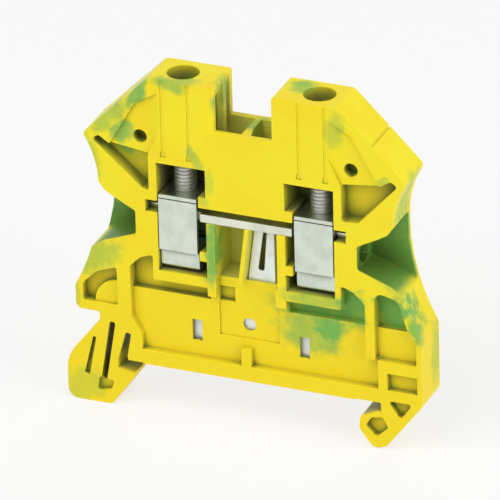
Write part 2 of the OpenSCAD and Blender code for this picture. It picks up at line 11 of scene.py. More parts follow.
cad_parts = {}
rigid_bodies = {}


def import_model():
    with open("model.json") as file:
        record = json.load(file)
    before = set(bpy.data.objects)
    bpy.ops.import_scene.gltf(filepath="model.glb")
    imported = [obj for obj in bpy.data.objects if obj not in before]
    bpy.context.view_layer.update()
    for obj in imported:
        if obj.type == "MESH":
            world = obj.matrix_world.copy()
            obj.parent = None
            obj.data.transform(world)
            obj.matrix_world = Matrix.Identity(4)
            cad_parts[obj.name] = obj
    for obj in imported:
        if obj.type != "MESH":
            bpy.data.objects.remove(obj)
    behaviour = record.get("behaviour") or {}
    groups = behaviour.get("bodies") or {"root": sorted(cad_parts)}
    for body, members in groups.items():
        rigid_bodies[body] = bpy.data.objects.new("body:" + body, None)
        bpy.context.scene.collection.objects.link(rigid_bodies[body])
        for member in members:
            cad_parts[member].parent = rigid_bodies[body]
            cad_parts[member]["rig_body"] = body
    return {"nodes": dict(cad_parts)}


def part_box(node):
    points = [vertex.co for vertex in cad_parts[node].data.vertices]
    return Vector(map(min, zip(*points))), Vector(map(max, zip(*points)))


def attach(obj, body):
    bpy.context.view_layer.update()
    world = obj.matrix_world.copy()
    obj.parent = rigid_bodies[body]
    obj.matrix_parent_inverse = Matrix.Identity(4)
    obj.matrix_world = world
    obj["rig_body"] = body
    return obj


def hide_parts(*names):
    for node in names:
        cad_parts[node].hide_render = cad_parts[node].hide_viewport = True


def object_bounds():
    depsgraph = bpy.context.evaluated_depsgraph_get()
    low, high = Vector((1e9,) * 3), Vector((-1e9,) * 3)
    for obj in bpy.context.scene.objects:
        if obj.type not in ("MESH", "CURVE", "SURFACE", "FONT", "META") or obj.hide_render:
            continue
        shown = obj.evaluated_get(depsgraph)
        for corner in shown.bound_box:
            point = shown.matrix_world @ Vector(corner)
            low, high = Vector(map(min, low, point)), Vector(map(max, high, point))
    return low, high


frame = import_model()
cad_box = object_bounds()

bl_info = {
    "name": "Earth terminal block",
    "version": (1, 0, 0),
    "blender": (4, 5, 0),
    "location": "3D View > Sidebar > Earth block",
    "description": "Finishes the solids of an earth terminal block and lights them for a picture",
    "category": "Object",
}

MM = 0.001
SIDES = ("left", "right")

# Points this near are one, edges this short are none, and triangles this flat are one wall
WELD = 0.001 * MM
TINY = WELD / 10
FLAT = math.radians(0.5)
# Outer edges are rounded from this angle on, in this many steps
CORNER = math.radians(28)
ROUND_STEPS = 2
# A rounded edge needs walls without a thinner corner than this, and this many radii free in front of it
SLIVER = math.radians(25)
ROOM = 2.2
# What lies in front of an edge has at least this share of its distance straight inwards
AHEAD = 0.5
# An edge without room that is shorter than this many radii keeps its neighbours from being rounded
STOP = 4
# Walls that meet more steeply than this keep a hard line in the shading
CREASE = math.radians(50)

# The thread in shares of its pitch: where its root ends, and where its crest begins and ends
ROOT_END = 0.2
CREST_START = 0.48
CREST_END = 0.72
# Turns of thread below its lower end, which are cut off again
LEAD_IN = 1.5
# Shares of the thread's run-out: room below the head, and how far an open rim may lie off its level
NECK_ROOM = 0.1
RIM_ROOM = 0.25

# Sockets of a colour mix, which share their names with the other kinds
MIX_A = 6
MIX_B = 7
MIX_RESULT = 2

# Noise runs from nothing to all, about this middle
NOISE_MIDDLE = 0.5
# Rays that feel how closed in a place is
FEELERS = 8
# Open sky over a place, as shares: where the painted shade of a hollow, a chamber or a seam starts,
# and where it is darkest
HOLLOW_SHADE_SKY = (0.65, 0.2)
CHAMBER_SHADE_SKY = (0.6, 0.2)
SEAM_SHADE_SKY = (0.98, 0.6)

# Height of the fine grain, and how strongly the plastic and the sheet metal show it
GRAIN_HEIGHT = 0.02 * MM
MOULD_GRAIN = 0.12
ROLLED_GRAIN = 0.1
# Rolling marks: how far they are drawn out, and their two directions, along the block and upright
ROLLED_OUT = (0.06, 1, 1)
ROLLED_ALONG = (0, 0, 0)
ROLLED_UPRIGHT = (0, math.pi / 2, 0)

# The plastic: density at a streak's edge and inside it, noise where a warm cloud starts and is full,
# and how much rougher the clouds are than the rest
STREAK_EDGE = (0.15, 0.65)
CLOUD_EDGE = (0.35, 0.75)
CLOUD_ROUGHNESS = 0.08
# The plating: noise where a stain starts and is full, the brightness it leaves, and how much rougher it is
STAIN_EDGE = (0.3, 0.75)
STAIN_SHADE = 0.86
STAIN_ROUGHNESS = 0.1

# The conductor funnels, all green inside: the inner end of their holes, the height of their floor,
# the height at which their roof would meet the block's middle, and how steeply the roof rises outwards
FUNNEL_END = 12.2 * MM
FUNNEL_FLOOR = 16.2 * MM
FUNNEL_ROOF = 14.4 * MM
FUNNEL_RISE = 0.5
# Share of the painted shade, a dark green, deep in a funnel, once for its inner end and once for its floor
FUNNEL_SHADE_SHARE = 0.45

# Soft limits of the colours and painted shades in the housing: how far past an edge a colour starts,
# and how far past it the colour is full, in millimetres along the block's axes
# The deeper yellow low on the block is painted bounce light
PAINTED_BOUNCE_LOW = (20, 6)
INSIDE_BACK = (-0.15, -0.9)
CHAMBER_INNER = (-1.6, 0.3)
CHAMBER_OUTER = (0.7, 0.4)
CHAMBER_FLOOR = (-0.9, -0.6)
CHAMBER_ROOF = (-2, -3.2)
CHAMBER_FRONT = (-0.1, 0.5)
FUNNEL_OUTER = (0, 0.2)
FUNNEL_ABOVE = (-1, 0)
FUNNEL_BELOW = (0.4, 0)
FUNNEL_FRONT = (0.05, 0.5)
FUNNEL_DEEP = (9, 2.5)
FUNNEL_LOW = (5, 1)
WELL_SIDE = (-1.6, -2)
WELL_FLOOR = (-8, -7.4)

# Green streaks in the moulding: middle, half sizes along, through and across, in millimetres,
# lean in degrees, and strength
Streak = namedtuple("Streak", "x y z along through across lean strength")
STREAKS = (
    # Open side, from the left tower down to the latch
    Streak(-13.9, -3, 37.7, 3.4, 4, 1.7, 57, 0.9),
    Streak(-9.6, -3, 39.5, 3.4, 3, 1.6, -3, 0.72),
    Streak(-16.4, -3, 31.9, 3.2, 3, 2, 45, 0.85),
    Streak(-18, -2.5, 34.2, 4.6, 4, 2.6, 45, 0.58),
    Streak(-16.3, -1.5, 28.9, 3.2, 2.5, 1.7, -38, 0.85),
    Streak(-20.3, -2.5, 28, 4.6, 4, 1.8, -74, 0.45),
    Streak(-6.7, -3, 30, 2.4, 2, 1.2, -62, 0.55),
    Streak(-4.8, -3, 26.8, 3, 2, 1, 90, 0.3),
    Streak(-5.6, -3, 23.9, 1.4, 2, 1.4, 0, 0.4),
    Streak(-4.6, -2.6, 17.2, 7, 3.4, 1.9, 90, 0.9),
    Streak(-19.8, -2.5, 14, 5.5, 5, 3.4, 35, 0.52),
    Streak(-23.2, -1, 9, 4, 5, 1.2, 85, 0.45),
    Streak(-22.4, -2.5, -4.6, 5, 4, 3.6, 20, 0.33),
    # Right tower and shoulder
    Streak(12.2, -3, 37, 4, 3, 2, 80, 0.42),
    Streak(18.5, -3, 30.7, 2, 2, 1, 15, 0.45),
    # Driver guides, tower tops and the bay between the towers
    Streak(-9.1, 0, 37, 2.7, 2.7, 5, 0, 0.5),
    Streak(9.1, 0, 37, 2.7, 2.7, 5, 0, 0.5),
    Streak(-8.6, -2.4, 40.2, 4.5, 1.7, 1.4, 0, 0.62),
    Streak(6.6, 1.2, 40.2, 3.2, 2.6, 1.6, 0, 0.75),
    Streak(-3.6, -0.5, 37.5, 4.4, 4, 1.6, 90, 0.75),
    Streak(1, 0.5, 34, 6, 3.2, 7, 0, 0.75),
    # Right wing, and the base below the right clamp
    Streak(19.6, -1.8, 13.3, 4, 4, 3.2, -15, 1.2),
    Streak(18.6, -0.4, 12, 6, 2.4, 4.5, -15, 1.2),
    Streak(20.3, -2.5, 16.3, 5, 3, 1.6, -18, 0.45),
    Streak(22.2, -2.7, 11.2, 3.4, 2.4, 1.2, -65, 0.9),
    Streak(14, -1.8, 12.7, 3.2, 4, 5, 0, 1.1),
    Streak(9, -3, 12.9, 8, 2.5, 2, 0, 0.6),
    Streak(10.5, -0.8, 10.8, 13, 2.6, 3, 0, 1),
    Streak(10.3, -2.1, 9, 4.2, 2, 3, 0, 1),
    Streak(8.2, -2.1, 8.2, 7, 2.4, 5, 0, 0.68),
    # End faces at the hook's side
    Streak(23.6, 2, 6, 7, 3, 2.5, 82, 0.45),
    Streak(21.3, 0, 26.5, 8, 3.6, 4, 72, 0.62),
    Streak(22.3, -0.5, 30, 6.5, 5, 2.3, 72, 0.45),
    # Closed side
    Streak(-15, 3, 36.5, 6, 3.5, 1.8, 50, 0.75),
    Streak(-10, 3, 26, 13, 2.5, 3, 55, 0.4),
    Streak(-12, 3, 23, 9, 2.5, 1.8, 66, 0.8),
    Streak(12, 3, 25, 14, 2.5, 3.2, 112, 0.4),
    Streak(14, 3, 20, 9, 2.5, 2, 120, 0.85),
    Streak(1, 3, 10, 16, 2.5, 3, 8, 0.4),
    Streak(5, 3, 10.5, 9, 2.5, 2, 15, 0.75),
    Streak(2, 3, 30, 7, 2.5, 2, -30, 0.35),
    Streak(-17, 3, 8, 9, 3, 2.4, 100, 0.6),
)

# A place on the housing: how far from the block's middle, how far through the block, and how high
Spot = namedtuple("Spot", "across through height")

# The stage: white, half the floor's width, and how far the lamps stand from the block
WHITE = (1, 1, 1, 1)
FLOOR_HALF = 2.0
LAMP_DISTANCE = 0.9
# Lamps that face the block: direction from the open side towards the hook and height, in degrees, and width
Lamp = namedtuple("Lamp", "name azimuth elevation width")
LAMPS = (
    Lamp("key", -25, 50, 0.7),
    Lamp("fill", 75, 25, 0.6),
    Lamp("rear", 190, 8, 0.7),
)


# Settings

def srgb(red, green, blue):
    """A colour on the usual 0 to 255 scale, as the linear values that shaders take."""
    shares = [channel / 255 for channel in (red, green, blue)]
    return tuple(s / 12.92 if s <= 0.04045 else ((s + 0.055) / 1.055) ** 2.4 for s in shares)


def length(name, description, millimetres):
    """A length that a user may change, given in millimetres."""
    return FloatProperty(
        name=name, description=description, default=millimetres * MM, min=0, precision=5, unit="LENGTH")


def share(name, description, default):
    """A plain factor between nothing and all."""
    return FloatProperty(
        name=name, description=description, default=default, min=0, max=1, subtype="FACTOR")


def colour(name, description, default):
    """A surface colour, given by its linear values."""
    return FloatVectorProperty(
        name=name, description=description, default=default, min=0, max=1, subtype="COLOR")


def angle(name, description, degrees):
    """An angle that a user may change, given in degrees."""
    return FloatProperty(name=name, description=description, default=math.radians(degrees), subtype="ANGLE")


def power(name, description, watts):
    """The power of a lamp."""
    return FloatProperty(name=name, description=description, default=watts, min=0, unit="POWER")


class HousingLook(bpy.types.PropertyGroup):
    """Edges and plastic of the moulded housing"""

    edge_radius: length("Edge radius", "Rounding of the housing's outer edges", 0.11)
    yellow: colour("Yellow", "Main colour of the plastic", srgb(242, 226, 40))
    # The deep yellow is a random cloudy tone of the plastic and, low on the block, painted bounce light
    deep_yellow: colour("Deep yellow", "Warmer yellow of the base and of soft clouds", srgb(243, 218, 34))
    cloud_size: length("Cloud size", "Size of the soft clouds in the yellow", 7)
    green: colour("Green", "Colour of the streaks", srgb(123, 180, 82))
    warp: length("Streak warp", "How far the streaks wander off their lines", 1.0)
    warp_size: length("Warp size", "Size of the bends in the streaks", 3.5)
    vein_size: length("Vein size", "Size of the fine veins in the streaks", 1.3)
    tear: FloatProperty(
        name="Tear", description="How strongly the veins tear the streaks", default=0.7, min=0)
    # Painted shade: a tint in narrow hollows, a lighter one in the middle wells and shafts, a dark green
    # deep in the conductor funnels, and a dark one deep in the clamp chambers
    hollow: colour("Hollow", "Colour of the yellow plastic in narrow hollows", srgb(96, 114, 60))
    well: colour("Well", "Colour of the yellow plastic in the middle wells and shafts", srgb(212, 216, 108))
    hollow_share: share("Hollow share", "How much of its colour a narrow hollow takes on", 0.92)
    hollow_reach: length("Hollow reach", "How near walls make a hollow narrow", 12)
    dark_green: colour("Dark green", "Colour deep inside the conductor funnels", srgb(70, 92, 30))
    shade: colour("Shade", "Colour deep inside the clamp chambers", srgb(96, 98, 72))
    shade_reach: length("Shade reach", "How near pieces darken the clamp chambers", 6)
    grain_size: length("Grain size", "Size of the fine grain of the mould", 0.16)
    roughness: share("Roughness", "Middle roughness of the plastic", 0.42)
    gloss: share("Gloss", "Strength of the plastic's reflections", 0.2)


class MetalLook(bpy.types.PropertyGroup):
    """Edges and plating of the metal pieces"""

    edge_radius: length("Edge radius", "Rounding of the stamped and folded edges", 0.07)
    tin: colour("Tin", "Plating of the current bar", srgb(236, 238, 220))
    bar_sheen: share("Bar sheen", "How metallic the tin of the current bar looks", 1.0)
    contact_tin: colour("Contact tin", "Plating of the rail contact", srgb(240, 246, 246))
    contact_sheen: share("Contact sheen", "How metallic the matt tin of the rail contact looks", 0.45)
    nickel: colour("Nickel", "Plating of the clamping sleeves", srgb(222, 231, 217))
    zinc: colour("Zinc", "Plating of the clamping screws", srgb(222, 223, 218))
    # Painted shade in the plating's seams and grooves: its colour, its reach, and how much of it each kind
    # of piece takes on
    crevice: colour("Crevice", "Colour of the plating in seams and grooves", srgb(44, 42, 34))
    crevice_reach: length("Crevice reach", "How near walls make a seam dark", 1.1)
    seams: share("Seams", "How much of that colour the bar and the rail contact take on", 0.85)
    sleeve_seams: share("Sleeve seams", "How much of that colour the clamping sleeves take on", 0.95)
    screw_seams: share("Screw seams", "How much of that colour the clamping screws take on", 0.0)
    roughness: share("Roughness", "Roughness of the sheet metal", 0.34)
    screw_roughness: share("Screw roughness", "Roughness of the clamping screws", 0.5)
    grain_size: length("Grain size", "Width of the rolling marks in the sheet", 0.12)
    cloud_size: length("Cloud size", "Size of the cloudy stains on the plating", 1.8)


class ThreadSizes(bpy.types.PropertyGroup):
    """Sizes of the clamping screws' thread"""

    pitch: length("Pitch", "Rise of the thread in one turn", 0.5)
    shank: length("Shank", "Diameter over the thread's crests", 2.9)
    depth: length("Depth", "Depth of the thread", 0.25)
    tip: length("Tip", "Height of the plain cone at the screw's tip", 0.35)
    head: length("Head", "Height of the screw's head", 2.4)
    runout: length("Run-out", "Height over which the thread fades into the plain shank", 0.2)
    steps: IntProperty(
        name="Steps", description="Steps in one turn of the thread", default=24, min=8, max=64)


class StageLook(bpy.types.PropertyGroup):
    """Floor, lamps and camera"""

    azimuth: angle("Azimuth", "Direction of the camera, from the open side towards the hook", 22.7)
    elevation: angle("Elevation", "Height of the camera above the horizon", 27.1)
    roll: angle("Roll", "Turn of the camera about its line of sight", -1.38)
    distance: length("Distance", "Distance from the camera to the block's middle", 1400)
    picture: length("Picture", "Width of what the camera sees at the block's middle", 62)
    floor: colour("Floor", "Colour of the floor", srgb(240, 240, 240))
    glow: share("Glow", "Share of the floor's colour that no shadow takes away", 0.72)
    ambient: share("Ambient", "Strength of the light from all around", 0.39)
    key: power("Key", "Power of the lamp above the open side", 4.4)
    fill: power("Fill", "Power of the lamp at the hook's side", 4)
    rear: power("Rear", "Power of the low lamp at the closed side", 3)


# Copies of the solids

def joined_copy(node):
    """A bmesh of one solid, its loose triangles joined into whole walls."""
    bm = bmesh.new()
    bm.from_mesh(frame["nodes"][node].data)
    bmesh.ops.remove_doubles(bm, verts=bm.verts, dist=WELD)
    bmesh.ops.dissolve_limit(bm, angle_limit=FLAT, verts=bm.verts, edges=bm.edges)
    return bm


def nearest(point, start, end):
    """The point of a straight line between two ends that lies nearest to a point."""
    spot, share_along = intersect_point_line(point, start, end)
    return start if share_along < 0 else end if share_along > 1 else spot


def roomy(loop, reach):
    """True where a wall has no thin corner and nothing near in front of one of its edges."""
    start, end = loop.vert, loop.link_loop_next.vert
    if min(loop.calc_angle(), loop.link_loop_next.calc_angle()) < SLIVER:
        return False
    inward = loop.face.normal.cross((end.co - start.co).normalized())
    for other in loop.face.edges:
        if start in other.verts or end in other.verts:
            continue
        ends = [vert.co for vert in other.verts]
        gaps = [nearest(spot, *ends) - spot for spot in (start.co, end.co)]
        gaps += [spot - nearest(spot, start.co, end.co) for spot in ends]
        if any(gap.length < reach and gap.dot(inward) > AHEAD * gap.length for gap in gaps):
            return False
    return True


def is_corner(edge):
    """True at an outer edge that is sharp enough to be rounded."""
    return edge.is_manifold and edge.is_convex and edge.calc_face_angle() > CORNER


def soften(bm, radius):
    """Rounds the outer edges of a copied solid, and stops well before a short edge that has no room."""
    corners = [edge for edge in bm.edges if is_corner(edge)]
    rounded = {edge for edge in corners if all(roomy(loop, ROOM * radius) for loop in edge.link_loops)}
    tight = [edge for edge in corners if edge not in rounded and edge.calc_length() < STOP * radius]
    rounded -= {near for edge in tight for vert in edge.verts for near in vert.link_edges}
    bmesh.ops.bevel(
        bm, geom=[edge for edge in corners if edge in rounded], offset=radius, offset_type="OFFSET",
        affect="EDGES", segments=ROUND_STEPS, profile=0.5, material=-1, clamp_overlap=False)
    bmesh.ops.dissolve_degenerate(bm, dist=TINY, edges=bm.edges)


def softened_copy(node, radius):
    """A bmesh of one solid with rounded outer edges."""
    bm = joined_copy(node)
    soften(bm, radius)
    return bm


def mesh_of(bm, name):
    """Turns a finished bmesh into a mesh."""
    mesh = bpy.data.meshes.new(name)
    bm.to_mesh(mesh)
    bm.free()
    return mesh


def stand_in(bm, name, node, material):
    """Makes the finished piece from a bmesh, in place of one solid and on its body."""
    open_edges = [edge for edge in bm.edges if not edge.is_manifold]
    if open_edges:
        raise RuntimeError(f"{name} isn't closed: {len(open_edges)} open edges")
    for face in bm.faces:
        face.smooth = True
    for edge in bm.edges:
        edge.smooth = edge.calc_face_angle() < CREASE
    mesh = mesh_of(bm, name)
    # The solid's own shading doesn't fit the rounded edges
    if "custom_normal" in mesh.attributes:
        mesh.attributes.remove(mesh.attributes["custom_normal"])
    mesh.materials.clear()
    mesh.materials.append(material)
    piece = bpy.data.objects.new(name, mesh)
    bpy.context.scene.collection.objects.link(piece)
    weighted = piece.modifiers.new("even_shading", "WEIGHTED_NORMAL")
    weighted.keep_sharp = True
    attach(piece, frame["nodes"][node]["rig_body"])
    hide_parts(node)


# Clamping screws

def level_cut(bm, height, **cleared):
    """Cuts a bmesh along a level plane."""
    geom = bm.verts[:] + bm.edges[:] + bm.faces[:]
    bmesh.ops.bisect_plane(bm, geom=geom, dist=TINY, plane_co=(0, 0, height), plane_no=(0, 0, 1), **cleared)


def thread_mesh(axis, low, high, sizes):
    """An open tube of right-hand thread between two heights."""
    crest = sizes.shank / 2
    root = crest - sizes.depth
    profile = ((root, 0), (root, ROOT_END), (crest, CREST_START), (crest, CREST_END), (root, 1))
    start = low - LEAD_IN * sizes.pitch
    corners = [Vector((radius, 0, start + rise * sizes.pitch)) for radius, rise in profile]
    bm = bmesh.new()
    points = [bm.verts.new(axis + corner) for corner in corners]
    edges = [bm.edges.new(pair) for pair in zip(points, points[1:])]
    turns = math.ceil((high - start) / sizes.pitch) + 1
    bmesh.ops.spin(
        bm, geom=points + edges, cent=axis, axis=(0, 0, 1), angle=turns * math.tau,
        steps=turns * sizes.steps, dvec=(0, 0, sizes.pitch / sizes.steps), use_merge=False)
    bmesh.ops.remove_doubles(bm, verts=bm.verts, dist=WELD)
    level_cut(bm, low, clear_inner=True)
    level_cut(bm, high, clear_outer=True)
    return mesh_of(bm, "thread")


def bridge_level(bm, low, high):
    """Closes the wall between the two open rims that lie between two heights."""
    open_edges = [edge for edge in bm.edges if edge.is_boundary]
    rims = [edge for edge in open_edges if all(low <= vert.co.z <= high for vert in edge.verts)]
    bmesh.ops.bridge_loops(bm, edges=rims)


def threaded_screw(node, sizes, edge_radius):
    """A slotted screw whose plain shank is turned into a thread between its tip and its head."""
    low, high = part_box(node)
    axis = Vector(((low.x + high.x) / 2, (low.y + high.y) / 2, 0))
    tip = low.z + sizes.tip
    neck = high.z - sizes.head - NECK_ROOM * sizes.runout
    bm = joined_copy(node)
    level_cut(bm, tip)
    level_cut(bm, neck)
    shank = [face for face in bm.faces if tip < face.calc_center_median().z < neck]
    bmesh.ops.delete(bm, geom=shank, context="FACES")
    soften(bm, edge_radius)
    thread = thread_mesh(axis, tip + sizes.runout, neck - sizes.runout, sizes)
    bm.from_mesh(thread)
    bpy.data.meshes.remove(thread)
    margin = RIM_ROOM * sizes.runout
    bridge_level(bm, tip - margin, tip + sizes.runout + margin)
    bridge_level(bm, neck - sizes.runout - margin, neck + margin)
    bmesh.ops.recalc_face_normals(bm, faces=bm.faces)
    return bm


# Shader nodes

def add_node(tree, kind, inputs, **options):
    """Adds a shader node, sets its options, and fills or links its inputs."""
    made = tree.nodes.new(kind)
    for option, value in options.items():
        setattr(made, option, value)
    for socket, value in inputs.items():
        if isinstance(value, bpy.types.NodeSocket):
            tree.links.new(value, made.inputs[socket])
        else:
            made.inputs[socket].default_value = value
    return made


def calc(tree, operation, first, second=0.0, third=0.0):
    """The result of one sum."""
    inputs = {0: first, 1: second, 2: third}
    return add_node(tree, "ShaderNodeMath", inputs, operation=operation).outputs[0]


def product(tree, result, *factors):
    """The product of several factors."""
    for factor in factors:
        result = calc(tree, "MULTIPLY", result, factor)
    return result


def smooth_step(tree, value, low, high):
    """Nothing below one value, all above another, and a soft step between them."""
    inputs = {"Value": value, "From Min": low, "From Max": high}
    return add_node(tree, "ShaderNodeMapRange", inputs, interpolation_type="SMOOTHSTEP").outputs["Result"]


def past(tree, value, edge, limits):
    """A soft step beside an edge: nothing at the first distance past it, and all at the second."""
    start, full = limits
    return smooth_step(tree, value, edge + start * MM, edge + full * MM)


def cloud(tree, place, size, detail=3):
    """Soft noise with clouds of about this size."""
    return add_node(tree, "ShaderNodeTexNoise", {"Vector": place, "Scale": 1 / size, "Detail": detail})


def mixed(tree, factor, first, second):
    """One colour laid over another."""
    inputs = {0: factor, MIX_A: first, MIX_B: second}
    return add_node(tree, "ShaderNodeMix", inputs, data_type="RGBA").outputs[MIX_RESULT]


def opaque(rgb):
    """A property's colour with full alpha, as a colour socket takes it."""
    return (*rgb, 1.0)


def bumpy(tree, height, strength):
    """A normal that follows a fine grain."""
    inputs = {"Height": height, "Strength": strength, "Distance": GRAIN_HEIGHT}
    return add_node(tree, "ShaderNodeBump", inputs).outputs["Normal"]


def closed_in(tree, reach, limits, alone=True):
    """How closed in a place is within a reach, by walls of its own piece alone or of all the pieces."""
    inputs = {"Distance": reach}
    feeler = add_node(tree, "ShaderNodeAmbientOcclusion", inputs, only_local=alone, samples=FEELERS)
    return smooth_step(tree, feeler.outputs["AO"], *limits)


def new_material(name):
    """A new material, its tree, its shader, and the place on the piece."""
    material = bpy.data.materials.new(name)
    material.use_nodes = True
    tree = material.node_tree
    shader = tree.nodes["Principled BSDF"]
    place = add_node(tree, "ShaderNodeTexCoord", {}).outputs["Object"]
    return material, tree, shader, place


# Plastic of the housing

def housing_spot(tree, place):
    """A place on the housing, with both sides of the block alike."""
    axes = add_node(tree, "ShaderNodeSeparateXYZ", {0: place}).outputs
    return Spot(calc(tree, "ABSOLUTE", axes["X"]), axes["Y"], axes["Z"])


def inside_back(tree, spot):
    """All inside the block, and nothing on the outer face of its closed side."""
    return past(tree, spot.through, cad_box[1].y, INSIDE_BACK)


def chamber_depth(tree, spot):
    """How deep a place lies in one of the two clamp chambers."""
    low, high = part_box("clamp_sleeve_right")
    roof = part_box("clamp_screw_right")[1].z
    return product(
        tree,
        past(tree, spot.across, low.x, CHAMBER_INNER),
        past(tree, spot.across, high.x, CHAMBER_OUTER),
        past(tree, spot.height, low.z, CHAMBER_FLOOR),
        past(tree, spot.height, roof, CHAMBER_ROOF),
        past(tree, spot.through, low.y, CHAMBER_FRONT),
        inside_back(tree, spot))


def funnel_depth(tree, spot):
    """Where the plastic is inside one of the two conductor funnels, and how much painted shade it takes
    there.
    """
    under_roof = calc(tree, "SUBTRACT", spot.height, calc(tree, "MULTIPLY", spot.across, FUNNEL_RISE))
    inside = product(
        tree,
        past(tree, spot.across, FUNNEL_END, FUNNEL_OUTER),
        past(tree, spot.height, FUNNEL_FLOOR, FUNNEL_ABOVE),
        past(tree, under_roof, FUNNEL_ROOF, FUNNEL_BELOW),
        past(tree, spot.through, cad_box[0].y, FUNNEL_FRONT),
        inside_back(tree, spot))
    deep = past(tree, spot.across, FUNNEL_END, FUNNEL_DEEP)
    low = past(tree, spot.height, FUNNEL_FLOOR, FUNNEL_LOW)
    # Painted shade, darkest at the funnel's inner end and at its floor
    shade_share = product(tree, calc(tree, "ADD", deep, low), inside, FUNNEL_SHADE_SHARE)
    return inside, shade_share


def in_wells(tree, spot):
    """All in the wells and shafts of the block's middle, and nothing elsewhere."""
    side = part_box("clamp_sleeve_right")[0].x
    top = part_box("rail_contact")[1].z
    between = past(tree, spot.across, side, WELL_SIDE)
    upright = past(tree, spot.height, top, WELL_FLOOR)
    return product(tree, between, upright)


def wandering_place(tree, place, look):
    """A place that is pushed to and fro, so that straight lines bend."""
    bends = cloud(tree, place, look.warp_size, detail=2).outputs["Color"]
    inputs = {0: bends, 1: (NOISE_MIDDLE,) * 3}
    push = add_node(tree, "ShaderNodeVectorMath", inputs, operation="SUBTRACT").outputs[0]
    inputs = {0: push, 1: (2 * look.warp,) * 3, 2: place}
    return add_node(tree, "ShaderNodeVectorMath", inputs, operation="MULTIPLY_ADD").outputs[0]


def streak_patch(tree, place, streak, tears):
    """How green one streak makes a place: an even patch with a torn edge."""
    inputs = {
        "Vector": place,
        "Location": Vector((streak.x, streak.y, streak.z)) * MM,
        "Rotation": (0, math.radians(-streak.lean), 0),
        "Scale": Vector((streak.along, streak.through, streak.across)) * MM,
    }
    local = add_node(tree, "ShaderNodeMapping", inputs, vector_type="TEXTURE").outputs[0]
    patch = add_node(tree, "ShaderNodeTexGradient", {"Vector": local}, gradient_type="SPHERICAL")
    torn = calc(tree, "ADD", patch.outputs["Fac"], tears)
    return product(tree, smooth_step(tree, torn, *STREAK_EDGE), streak.strength)


def green_share(tree, place, look, in_funnel):
    """How green the plastic is: all of it in the funnels, and the streaks elsewhere, torn by fine veins."""
    veins = cloud(tree, place, look.vein_size, detail=4).outputs["Fac"]
    tears = product(tree, calc(tree, "SUBTRACT", veins, NOISE_MIDDLE), look.tear)
    wandering = wandering_place(tree, place, look)
    green = in_funnel
    for streak in STREAKS:
        green = calc(tree, "MAXIMUM", green, streak_patch(tree, wandering, streak, tears))
    veined = product(tree, green, calc(tree, "ADD", tears, 1.0))
    return calc(tree, "MINIMUM", veined, 1.0)


def marbled_plastic(look):
    """Yellow moulded plastic with soft green streaks and a fine mould grain, with painted shade in its
    hollows, wells, funnels and clamp chambers, and a painted warm bounce low down.
    """
    material, tree, shader, place = new_material("marbled_plastic")
    spot = housing_spot(tree, place)
    # Yellow, deeper in soft clouds and in a painted warm bounce low down, and green
    clouds = smooth_step(tree, cloud(tree, place, look.cloud_size).outputs["Fac"], *CLOUD_EDGE)
    # Painted bounce light: the yellow deepens towards the bottom of the block
    clouds_and_bounce = calc(tree, "MAXIMUM", clouds, past(tree, spot.height, 0, PAINTED_BOUNCE_LOW))
    yellow = mixed(tree, clouds_and_bounce, opaque(look.yellow), opaque(look.deep_yellow))
    in_funnel, funnel_shade_share = funnel_depth(tree, spot)
    streaks = green_share(tree, place, look, in_funnel)
    marbled = mixed(tree, streaks, yellow, opaque(look.green))
    # Painted shade in the hollows, the wells, the funnels and the clamp chambers
    # Painted shade in narrow hollows, kept off the green streaks
    hollow_shade_share = product(tree, closed_in(tree, look.hollow_reach, HOLLOW_SHADE_SKY), look.hollow_share)
    shade_on_yellow = product(tree, hollow_shade_share, calc(tree, "SUBTRACT", 1.0, streaks))
    # The wells and shafts take a lighter painted shade, for the light that falls into them from above
    deep = mixed(tree, in_wells(tree, spot), opaque(look.hollow), opaque(look.well))
    hollow_shaded = mixed(tree, shade_on_yellow, marbled, deep)
    # Painted shade deep in the funnels, a dark green
    funnelled = mixed(tree, funnel_shade_share, hollow_shaded, opaque(look.dark_green))
    # Painted shade deep in the clamp chambers, darker where the pieces close them in
    shut = closed_in(tree, look.shade_reach, CHAMBER_SHADE_SKY, alone=False)
    chamber_shade_share = product(tree, chamber_depth(tree, spot), shut)
    shaded = mixed(tree, chamber_shade_share, funnelled, opaque(look.shade))
    tree.links.new(shaded, shader.inputs["Base Color"])
    # Surface
    grain = cloud(tree, place, look.grain_size).outputs["Fac"]
    tree.links.new(bumpy(tree, grain, MOULD_GRAIN), shader.inputs["Normal"])
    smoothest = look.roughness - CLOUD_ROUGHNESS / 2
    sheen = calc(tree, "MULTIPLY_ADD", clouds, CLOUD_ROUGHNESS, smoothest)
    tree.links.new(sheen, shader.inputs["Roughness"])
    shader.inputs["Specular IOR Level"].default_value = look.gloss
    return material


# Plating of the metal

def plated_metal(name, rgb, look, grain_turn, roughness, seam_shade_share, metallic=1.0):
    """Plated metal with rolling marks along one direction, faint cloudy stains and painted shade in its
    seams.
    """
    material, tree, shader, place = new_material(name)
    stains = smooth_step(tree, cloud(tree, place, look.cloud_size).outputs["Fac"], *STAIN_EDGE)
    darker = [channel * STAIN_SHADE for channel in rgb]
    stained = mixed(tree, stains, opaque(rgb), opaque(darker))
    # Painted shade in the seams, where near walls close a place in
    seams = product(tree, closed_in(tree, look.crevice_reach, SEAM_SHADE_SKY), seam_shade_share)
    tree.links.new(mixed(tree, seams, stained, opaque(look.crevice)), shader.inputs["Base Color"])
    inputs = {"Vector": place, "Rotation": grain_turn, "Scale": ROLLED_OUT}
    rolled = add_node(tree, "ShaderNodeMapping", inputs).outputs[0]
    marks = cloud(tree, rolled, look.grain_size).outputs["Fac"]
    tree.links.new(bumpy(tree, marks, ROLLED_GRAIN), shader.inputs["Normal"])
    dull = calc(tree, "MULTIPLY_ADD", stains, STAIN_ROUGHNESS, roughness)
    tree.links.new(dull, shader.inputs["Roughness"])
    shader.inputs["Metallic"].default_value = metallic
    return material


# Stage

